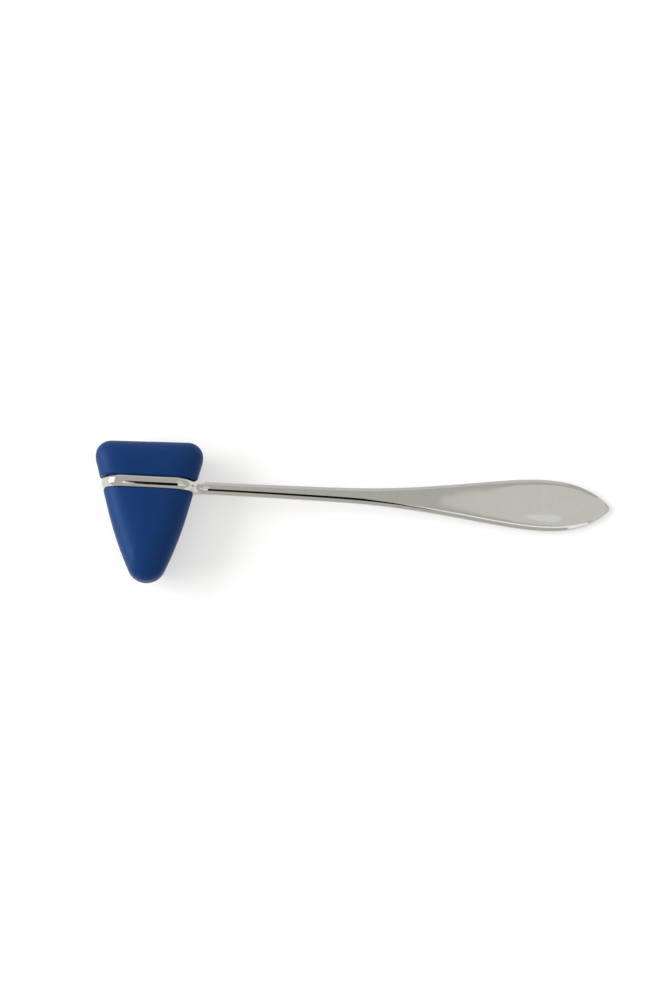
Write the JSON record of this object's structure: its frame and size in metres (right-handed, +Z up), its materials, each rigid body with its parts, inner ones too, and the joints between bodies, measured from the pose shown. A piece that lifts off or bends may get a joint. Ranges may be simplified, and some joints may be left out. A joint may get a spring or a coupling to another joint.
{
  "type": "reflex hammer",
  "caption": "Reflex hammer with a triangular rubber head held in the loop of a slim metal handle that widens to a pointed leaf.",
  "frame": {"origin": "on the table, under the middle of the lying hammer's bounding box", "axes": "+X runs along the handle from the head to the pointed end, +Y to the wide end of the head, +Z up off the table"},
  "size_m": [0.191, 0.0524, 0.0203],
  "materials": {
    "chromed_metal": "polished",
    "blue_rubber": "matte"
  },
  "bodies": {
    "root": {"handle": "chromed_metal", "head": "blue_rubber"}
  },
  "joints": []
}
